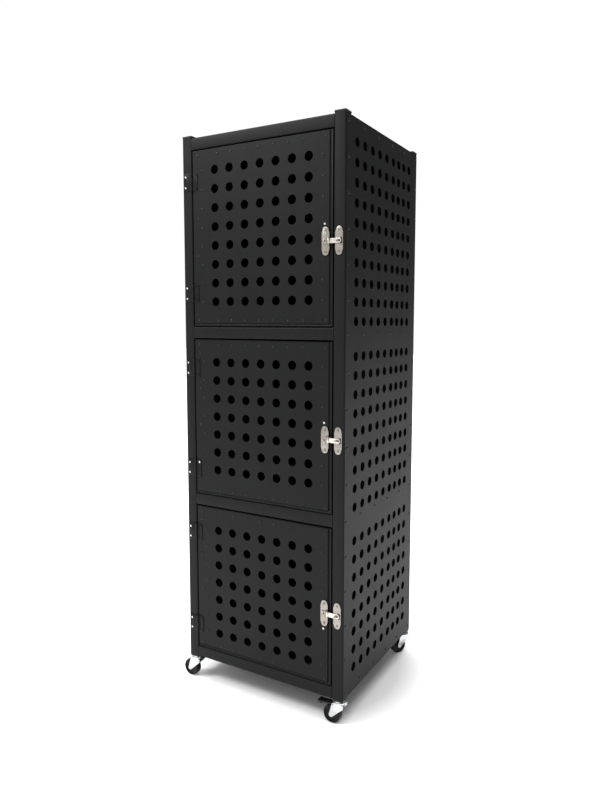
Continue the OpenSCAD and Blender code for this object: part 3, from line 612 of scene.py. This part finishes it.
corners = [(s * POST_X, e * POST_Y) for s in (-1, 1) for e in (-1, 1)]
cap_high = box_mm("post_caps")[1].z
cap_w = 2 * (box_mm("post_caps")[1].x - POST_X)
finish_piece("caps", stamped(bar(cap_w, cap_w, cap_high - POST_TOP, CAP_CORNER, CAP_EDGE, 5),
                             [moved(x, y, POST_TOP) for x, y in corners]),
             "black_plastic", "root", "post_caps")
socket_low = box_mm("caster_sockets")[0].z
finish_piece("sockets", stamped(bar(TUBE, TUBE, FRAME_BOTTOM - socket_low, TUBE_R, SOCKET_EDGE, 5),
                                [moved(x, y, socket_low) for x, y in corners]),
             "black_plastic", "root", "caster_sockets")

# ---------- rivets and screws ----------
rivet = turned([(0, RIVET_H), (1.5, RIVET_H - 0.2), (2.6, RIVET_H - 0.75), (RIVET_R, 0),
                (0, -RIVET_SUNK)], RIVET_SIDES)


def screw_head():
    """A pan head with a cross recess: a small grid whose middle cells are sunk."""
    bm = bmesh.new()
    bmesh.ops.create_grid(bm, x_segments=3, y_segments=3, size=1)
    for v in bm.verts:
        v.co.x = math.copysign(CROSS_REACH if abs(v.co.x) > 0.5 else CROSS_HALF, v.co.x)
        v.co.y = math.copysign(CROSS_REACH if abs(v.co.y) > 0.5 else CROSS_HALF, v.co.y)
        v.co.z = SCREW_H
    cross = [f for f in bm.faces if min(abs(f.calc_center_median().x),
                                        abs(f.calc_center_median().y)) < 0.1]
    rim = [e for e in bm.edges if e.is_boundary]
    for radius, height in ((SCREW_CROWN_R, SCREW_CROWN_H), (SCREW_R, SCREW_RIM_H),
                           (SCREW_R, -SCREW_SUNK)):
        made = bmesh.ops.extrude_edge_only(bm, edges=rim)
        rim = [g for g in made["geom"] if isinstance(g, bmesh.types.BMEdge)]
        for v in verts_of(made):
            flat = Vector((v.co.x, v.co.y))
            if radius == SCREW_CROWN_R:
                turn = round(math.atan2(flat.y, flat.x) / (math.tau / 12)) * math.tau / 12
                flat = Vector((math.cos(turn), math.sin(turn)))
            flat = flat.normalized() * radius
            v.co = (flat.x, flat.y, height)
    bmesh.ops.holes_fill(bm, edges=rim, sides=0)
    sunk = bmesh.ops.extrude_face_region(bm, geom=cross)
    bmesh.ops.translate(bm, verts=verts_of(sunk), vec=(0, 0, -CROSS_DEPTH))
    bmesh.ops.delete(bm, geom=[f for f in cross if f.is_valid], context="FACES_ONLY")
    bmesh.ops.recalc_face_normals(bm, faces=bm.faces)
    return bm


screw = screw_head()
BRIGHT_LEAF_SCREWS = {"middle": (1,)}  # unpainted: the upper screw of this door's lower hinge
SCREW_TURN = Matrix.Rotation(math.radians(35), 4, "Z")


def even(start, end):
    """Equal steps between two ends, which are left out."""
    n = math.ceil((end - start) / WALL_RIVET_PITCH)
    return [start + (end - start) * k / n for k in range(1, n)]


def rail_spots(half):
    """Rivets along the rails between two posts, which stand at half to either side."""
    return [(u, z) for u in even(-half, half) for z in rail_levels]


def post_spots(half):
    """Rivets up two posts, one at each rail's level and more between."""
    spots = [(s * half, z) for s in (-1, 1) for z in rail_levels]
    for a, b in zip(rail_levels, rail_levels[1:]):
        spots += [(s * half, z) for s in (-1, 1) for z in even(a, b)]
    return spots


wall_rivets = [wall @ moved(u, z, SHEET_T)
               for wall, half in ((RIGHT, POST_Y), (LEFT, POST_Y), (REAR, POST_X))
               for u, z in rail_spots(half) + post_spots(half)]
wall_rivets += [moved(x, s * POST_Y, RAIL_TOP[3] + SHEET_T)
                for x in even(-POST_X, POST_X) for s in (-1, 1)]
wall_rivets += [moved(s * POST_X, y, RAIL_TOP[3] + SHEET_T)
                for y in even(-POST_Y, POST_Y) for s in (-1, 1)]
finish_piece("wall_rivets", stamped(rivet, wall_rivets), "black_powder_coat", "root",
             "panel_rivets", finish=SHADED_RIVET_BLACK)


def spare_screw_z(i):
    """The spare screw stands above the latch, but below it on the bottom door."""
    return LATCH_Z[i] + (1 if i else -1) * SPARE_SCREW_OFF


def door_rivet_spots(i):
    """Where a door's rivets sit, from its middle."""
    edge_x, edge_z = DOOR_W / 2 - DOOR_RIVET_SIDE, DOOR_H[i] / 2 - DOOR_RIVET_EDGE
    rows = [z - BAY_MID[i] for z in door_rows[i]]
    hinges = [z - BAY_MID[i] for z in HINGE_Z[i]]
    latch = LATCH_Z[i] - BAY_MID[i]
    spots = [(x, s * edge_z) for x in spread(DOOR_RIVET_ROW, DOOR_RIVET_PITCH)
             for s in (-1, 1)]
    spots += [(a * edge_x, b * edge_z) for a in (-1, 1) for b in (-1, 1)]
    spare = spare_screw_z(i) - BAY_MID[i]
    spots += [(DOOR_W / 2 - DOOR_RIVET_LATCH, z - DOOR_RIVET_LATCH_DROP) for z in rows
              if abs(z - DOOR_RIVET_LATCH_DROP - latch) > LATCH_H / 2 + 2 * RIVET_R
              and abs(z - DOOR_RIVET_LATCH_DROP - spare) > 2 * (SCREW_R + RIVET_R)]
    spots += [(DOOR_RIVET_INNER - DOOR_W / 2, z) for z in rows]
    for z in rows[::2]:
        z += DOOR_PITCH_Z / 2
        if min(abs(z - h) for h in hinges) > HINGE_H / 2 + RIVET_R:
            spots.append((-edge_x, z))
    return spots


for i, level in enumerate(LEVELS):
    finish_piece(f"{level}_door_rivet_heads", stamped(rivet, [
        FRONT @ moved(x, BAY_MID[i] + z) for x, z in door_rivet_spots(i)]),
        "black_powder_coat", f"{level}_door", f"{level}_door_rivets", finish=SHADED_RIVET_BLACK)
    leaf_spots = [(HINGE_X + DOOR_LEAF_SCREW, z + t * DOOR_LEAF_PITCH / 2, LEAF_T)
                  for z in HINGE_Z[i] for t in (-1, 1)]
    bright = BRIGHT_LEAF_SCREWS.get(level, ())
    screws = {
        "leaf_screw_heads": ("black_powder_coat", SHADED_RIVET_BLACK, [
            spot for k, spot in enumerate(leaf_spots) if k not in bright]),
        "latch_screw_heads": ("satin_nickel", SHADED_SCREW_NICKEL, [
            (LATCH_X, LATCH_Z[i] + t * LATCH_SCREW_PITCH / 2, LATCH_T) for t in (-1, 1)]),
        "spare_screw_heads": ("screw_steel", None, [leaf_spots[k] for k in bright] + [
            (LATCH_X - SPARE_SCREW_SHIFT, spare_screw_z(i), 0)]),
    }
    for kind, (slot, finish, spots) in screws.items():
        finish_piece(f"{level}_{kind}", stamped(screw, [
            FRONT @ moved(*spot) @ SCREW_TURN for spot in spots]),
            slot, f"{level}_door", f"{level}_door_screws", finish=finish)

finish_piece("post_screw_heads", stamped(screw, [
    FRONT @ moved(HINGE_X - POST_LEAF_SCREW, z + t * POST_LEAF_PITCH / 2, LEAF_T) @ SCREW_TURN
    for pair in HINGE_Z for z in pair for t in (-1, 1)]), "screw_steel", "root", "post_screws")
finish_piece("keeper_screw_heads", stamped(screw, [
    FRONT @ moved(KEEPER_X, z + t * LATCH_SCREW_PITCH / 2, LATCH_T) @ SCREW_TURN
    for z in LATCH_Z for t in (-1, 1)]), "satin_nickel", "root", "post_screws",
    finish=SHADED_SCREW_NICKEL)


# ---------- hinges ----------
def knuckle(length):
    inner = KNUCKLE_R - KNUCKLE_CHAMFER
    return turned([(0, 0), (inner, 0), (KNUCKLE_R, KNUCKLE_CHAMFER),
                   (KNUCKLE_R, length - KNUCKLE_CHAMFER), (inner, length), (0, length)], 24)


def post_leaf():
    """The leaf on the post with its two outer knuckles, about the pin."""
    bm = bar(POST_LEAF_W - KNUCKLE_R - KNUCKLE_GAP, HINGE_H, LEAF_T, LEAF_CORNER, LEAF_EDGE)
    place(bm, moved(-(POST_LEAF_W + KNUCKLE_R + KNUCKLE_GAP) / 2, 0))
    run = HINGE_H / 3 - KNUCKLE_GAP
    reach = KNUCKLE_R + KNUCKLE_GAP + TONGUE_OVERLAP
    for start in (-HINGE_H / 2 + KNUCKLE_GAP / 2, HINGE_H / 6 + KNUCKLE_GAP / 2):
        tongue = bar(reach, run, LEAF_T, 0.1)
        stamp(bm, tongue, moved(-reach / 2, start + run / 2))
        tongue.free()
        roll = knuckle(run)
        stamp(bm, roll, moved(0, start, HINGE_OUT) @ Matrix.Rotation(-math.pi / 2, 4, "X"))
        roll.free()
    return bm


finish_piece("post_hinge_leaves", stamped(post_leaf(), [
    FRONT @ moved(HINGE_X, z) for pair in HINGE_Z for z in pair]),
    "black_powder_coat", "root", "hinge_post_leaves")


# ---------- latches ----------
def latch_outline():
    """The plate's flat shape: a wide waist, tapering to a round end at each screw."""
    bm = bmesh.new()
    plate(bm, LATCH_W, LATCH_WAIST_H)
    neck = LATCH_SCREW_PITCH / 2
    for side in (-1, 1):
        edge = [e for e in bm.edges if all(v.co.y * side > neck / 2 for v in e.verts)]
        for reach in (neck, LATCH_H / 2):
            made = bmesh.ops.extrude_edge_only(bm, edges=edge)
            edge = [g for g in made["geom"] if isinstance(g, bmesh.types.BMEdge)]
            for v in verts_of(made):
                v.co = (math.copysign(LATCH_NECK_R, v.co.x), side * reach, 0)
        bmesh.ops.bevel(bm, geom=verts_of(made), offset=LATCH_NECK_R - 0.02,
                        offset_type="OFFSET", segments=9, profile=0.5, affect="VERTICES",
                        material=-1)
    bmesh.ops.recalc_face_normals(bm, faces=bm.faces)
    return bm


def keeper():
    """A plate with an opening under the arm's tip and a staple pierced for the padlock."""
    bm = latch_outline()
    cut_at(bm, (1, 0, 0), OPENING_X)
    cut_at(bm, (0, 1, 0), (-OPENING_H / 2, OPENING_H / 2))
    hole = [f for f in bm.faces if OPENING_X[0] < f.calc_center_median().x < OPENING_X[1]
            and abs(f.calc_center_median().y) < OPENING_H / 2]
    bmesh.ops.delete(bm, geom=hole, context="FACES")
    bmesh.ops.solidify(bm, geom=bm.faces[:], thickness=LATCH_T)
    bmesh.ops.translate(bm, verts=bm.verts, vec=(0, 0, -min(v.co.z for v in bm.verts)))
    bmesh.ops.recalc_face_normals(bm, faces=bm.faces)
    soften(bm, KEEPER_EDGE, 2, 50)
    staple = bmesh.new()
    out = LATCH_T + STAPLE_OUT
    ring = bmesh.ops.create_circle(staple, segments=EYE_SIDES, radius=STAPLE_W / 2)["verts"]
    eye = bmesh.ops.create_circle(staple, segments=EYE_SIDES, radius=PADLOCK_R)["verts"]
    bmesh.ops.bridge_loops(staple, edges=staple.edges[:])
    bmesh.ops.translate(staple, verts=ring + eye, vec=(0, out - STAPLE_W / 2, 0))
    for v in ring:
        if v.co.y < out - STAPLE_W / 2 - 0.1:
            v.co = (math.copysign(STAPLE_W / 2, v.co.x) if abs(v.co.x) > STAPLE_W / 4
                    else v.co.x, LATCH_T / 2, 0)
    bmesh.ops.recalc_face_normals(staple, faces=staple.faces)
    bmesh.ops.solidify(staple, geom=staple.faces[:], thickness=STAPLE_T)
    middle = sum(v.co.z for v in staple.verts) / len(staple.verts)
    bmesh.ops.translate(staple, verts=staple.verts, vec=(0, 0, -middle))
    bmesh.ops.recalc_face_normals(staple, faces=staple.faces)
    soften(staple, STAPLE_EDGE, 2, 50)
    stamp(bm, staple, moved(STAPLE_X - KEEPER_X, 0) @ Matrix.Rotation(math.pi / 2, 4, "X"))
    staple.free()
    return bm


def grooved_door_tube(level):
    """A door's tube frame, rounded, with a groove along the sheet's latch edge and bottom."""
    bm = cad_copy(f"{level}_door_frame", DOOR_TUBE_EDGE, 3, 60)
    sheet_low, sheet_high = box_mm(f"{level}_door_sheet")
    sides = (sheet_high.x - SKIN_TRIM, sheet_high.x - SKIN_TRIM + GROOVE_W)
    bottoms = (sheet_low.z - GROOVE_W, sheet_low.z)
    cut_at(bm, (1, 0, 0), sides)
    cut_at(bm, (0, 0, 1), bottoms)
    front = min(v.co.y for v in bm.verts)

    def in_groove(face):
        c = face.calc_center_median()
        beside = sides[0] < c.x < sides[1] and c.z > bottoms[0]
        below = bottoms[0] < c.z < bottoms[1] and c.x < sides[1]
        return abs(c.y - front) < 0.01 and (beside or below)

    strip = [f for f in bm.faces if in_groove(f)]
    pull(bm, strip, (0, GROOVE_DEPTH, 0))
    bmesh.ops.delete(bm, geom=strip, context="FACES_ONLY")
    return bm


finish_piece("keepers", stamped(keeper(), [FRONT @ moved(KEEPER_X, z) for z in LATCH_Z]),
             "satin_nickel", "root", "latch_keepers")

for level in LEVELS:
    finish_piece(f"{level}_hasp_plate", cad_copy(f"{level}_latch_plate", HASP_PLATE_EDGE),
                 "satin_nickel", f"{level}_door", f"{level}_latch_plate")
    finish_piece(f"{level}_hasp_arm", cad_copy(f"{level}_latch_arm", HASP_ARM_EDGE),
                 "satin_nickel", f"{level}_latch_arm", f"{level}_latch_arm", finish=HIGHLIT_ARM_NICKEL)
    finish_piece(f"{level}_hinge_leaves", cad_copy(f"{level}_door_leaves", DOOR_LEAF_EDGE),
                 "black_powder_coat", f"{level}_door", f"{level}_door_leaves")
    finish_piece(f"{level}_door_tube", grooved_door_tube(level), "black_powder_coat",
                 f"{level}_door", f"{level}_door_frame")


# ---------- casters ----------
stem_z = box_mm("caster_stems")[0].z
head_z = stem_z + STEM_HEAD_H
finish_piece("stems", stamped(turned([
    (0, stem_z), (STEM_HEAD_R - STEM_HEAD_CHAMFER, stem_z),
    (STEM_HEAD_R, stem_z + STEM_HEAD_CHAMFER), (STEM_HEAD_R, head_z), (STEM_R, head_z),
    (STEM_R, WASHER_Z[0]), (WASHER_R, WASHER_Z[0]), (WASHER_R, WASHER_Z[1]),
    (STEM_R, WASHER_Z[1]), (STEM_R, FRAME_BOTTOM), (0, FRAME_BOTTOM)], 32),
    [moved(x, y, 0) for x, y in corners]), "bright_zinc", "root", "caster_stems")


def wheel_side(side):
    """Points from the bore to the tread on one side of the wheel."""
    hub = [(BORE_R, HUB_HALF), (HUB_R, HUB_HALF), (HUB_R + 0.45, HUB_HALF - 0.4),
           (HUB_R + 1, WEB_HALF + 0.2)]
    web = [(HUB_R + 1.8, WEB_HALF), (RIM_R - 2.1, WEB_HALF), (RIM_R - 1.3, WEB_HALF + 0.3)]
    rim = [(RIM_R - 0.6, WHEEL_HALF - 0.4), (RIM_R, WHEEL_HALF), (WHEEL_R - 2.8, WHEEL_HALF)]
    tread = [(WHEEL_R - 1.2, WHEEL_HALF - 0.8), (WHEEL_R - 0.3, WHEEL_HALF - 2.4),
             (WHEEL_R, WHEEL_HALF - 4.8)]
    return [(r, side * half) for r, half in hub + web + rim + tread]


wheel = turned(wheel_side(-1) + wheel_side(1)[::-1] + wheel_side(-1)[:1], 64)
for name in CASTERS:
    body = f"{name}_wheel"
    spin = next(j for j in frame["joints"] if j["name"] == f"{name}_wheel_spin")
    hub = Vector(spin["pos_m"]) / MM
    turn = Vector((0, 0, 1)).rotation_difference(Vector(spin["axis"])).to_matrix().to_4x4()
    finish_piece(f"{name}_tyre", stamped(wheel, [Matrix.Translation(hub) @ turn]),
                 "wheel_rubber", body, body)
    finish_piece(f"{name}_yoke", cad_copy(f"{name}_fork", FORK_EDGE), "bright_zinc",
                 f"{name}_caster", f"{name}_fork")
for name in ("front_left", "front_right"):
    finish_piece(f"{name}_brake_lever", cad_copy(f"{name}_pedal", PEDAL_EDGE),
                 "black_plastic", f"{name}_pedal", f"{name}_pedal")

# ---------- CAD nodes that stay ----------
slot_of = {s["node"]: s["material_slot"] for s in frame["record"]["subparts"]}
for node, piece in frame["nodes"].items():
    piece.data.materials.clear()
    piece.data.materials.append(FINISHES[slot_of[node]])

# ---------- floor, light, camera, in metres ----------
FLOOR_HALF = 20
SHADOW_FADE = (0.30, 0.55)  # the floor turns plain white between these distances
STUDIO_WHITE = 1.02
SIDE_GLOW = 0.85
RIGHT_SHADE = 0.7
SHADED_WAY = (0.83, 0.55, 0)
CAMERA_AT = (1.0135, -1.7120, 1.0857)
AZIMUTH, ELEVATION, ROLL = (math.radians(a) for a in (29.23, 5.2, 0.18))
LENS = 29.07
SENSOR = 36
SHIFT = (-0.0251, -0.0223)

scene = bpy.context.scene
scene.view_settings.view_transform = "Standard"

floor_mesh = bpy.data.meshes.new("floor")
floor_bm = bmesh.new()
bmesh.ops.create_grid(floor_bm, x_segments=1, y_segments=1, size=FLOOR_HALF)
floor_bm.to_mesh(floor_mesh)
floor_bm.free()
floor = bpy.data.objects.new("floor", floor_mesh)
scene.collection.objects.link(floor)
pale = Finish("pale floor", **{"Base Color": (0.95, 0.95, 0.95, 1), "Specular IOR Level": 0.0,
                               "Emission Strength": 1.0})
distance = pale.node("ShaderNodeVectorMath", {"operation": "LENGTH"}, {0: pale.place})
far = pale.between(Value(pale, distance.outputs["Value"]), *SHADOW_FADE)
pale.feed(pale.shader.inputs["Emission Color"], pale.tint(far, (0, 0, 0), (1, 1, 1)))
floor_mesh.materials.append(pale.wear(roughness=0.9 + pale.noise(3) * 0.05))

# The studio is white to look at, and throws less light from the back right
world = bpy.data.worlds.new("studio")
scene.world = world
world.use_nodes = True
studio = Nodes(world.node_tree)
direction = studio.node("ShaderNodeTexCoord").outputs["Generated"]
towards_right = studio.node("ShaderNodeVectorMath", {"operation": "DOT_PRODUCT"},
                            {0: direction, 1: SHADED_WAY})
shade = studio.between(Value(studio, towards_right.outputs["Value"]), -0.3, 0.85)
seen = Value(studio, studio.node("ShaderNodeLightPath").outputs["Is Camera Ray"])
glow = SIDE_GLOW - RIGHT_SHADE * shade
background = world.node_tree.nodes["Background"]
studio.feed(background.inputs["Color"], (1, 1, 1, 1))
studio.feed(background.inputs["Strength"], glow + seen * (STUDIO_WHITE - glow))


def soft_light(name, at, target, size, watts):
    """A square lamp at a place, turned to its target."""
    light = bpy.data.lights.new(name, "AREA")
    light.shape = "SQUARE"
    light.size = size
    light.energy = watts
    lamp = bpy.data.objects.new(name, light)
    scene.collection.objects.link(lamp)
    lamp.location = at
    lamp.rotation_euler = (Vector(target) - Vector(at)).to_track_quat("-Z", "Y").to_euler()


soft_light("key", (-1.6, -2.0, 3.0), (-0.2, 0, 1.4), 0.9, 60)
soft_light("ceiling", (0, -0.4, 4.2), (0, 0, 0), 4.5, 190)

camera = bpy.data.cameras.new("camera")
camera_object = bpy.data.objects.new("camera", camera)
scene.collection.objects.link(camera_object)
scene.camera = camera_object
back = Vector((math.sin(AZIMUTH) * math.cos(ELEVATION), -math.cos(AZIMUTH) * math.cos(ELEVATION),
               math.sin(ELEVATION)))
camera_object.location = CAMERA_AT
aim = (-back).to_track_quat("-Z", "Y").to_matrix().to_4x4()
camera_object.rotation_euler = (aim @ Matrix.Rotation(ROLL, 4, "Z")).to_euler()
camera.lens = LENS
camera.sensor_width = SENSOR
camera.shift_x, camera.shift_y = SHIFT
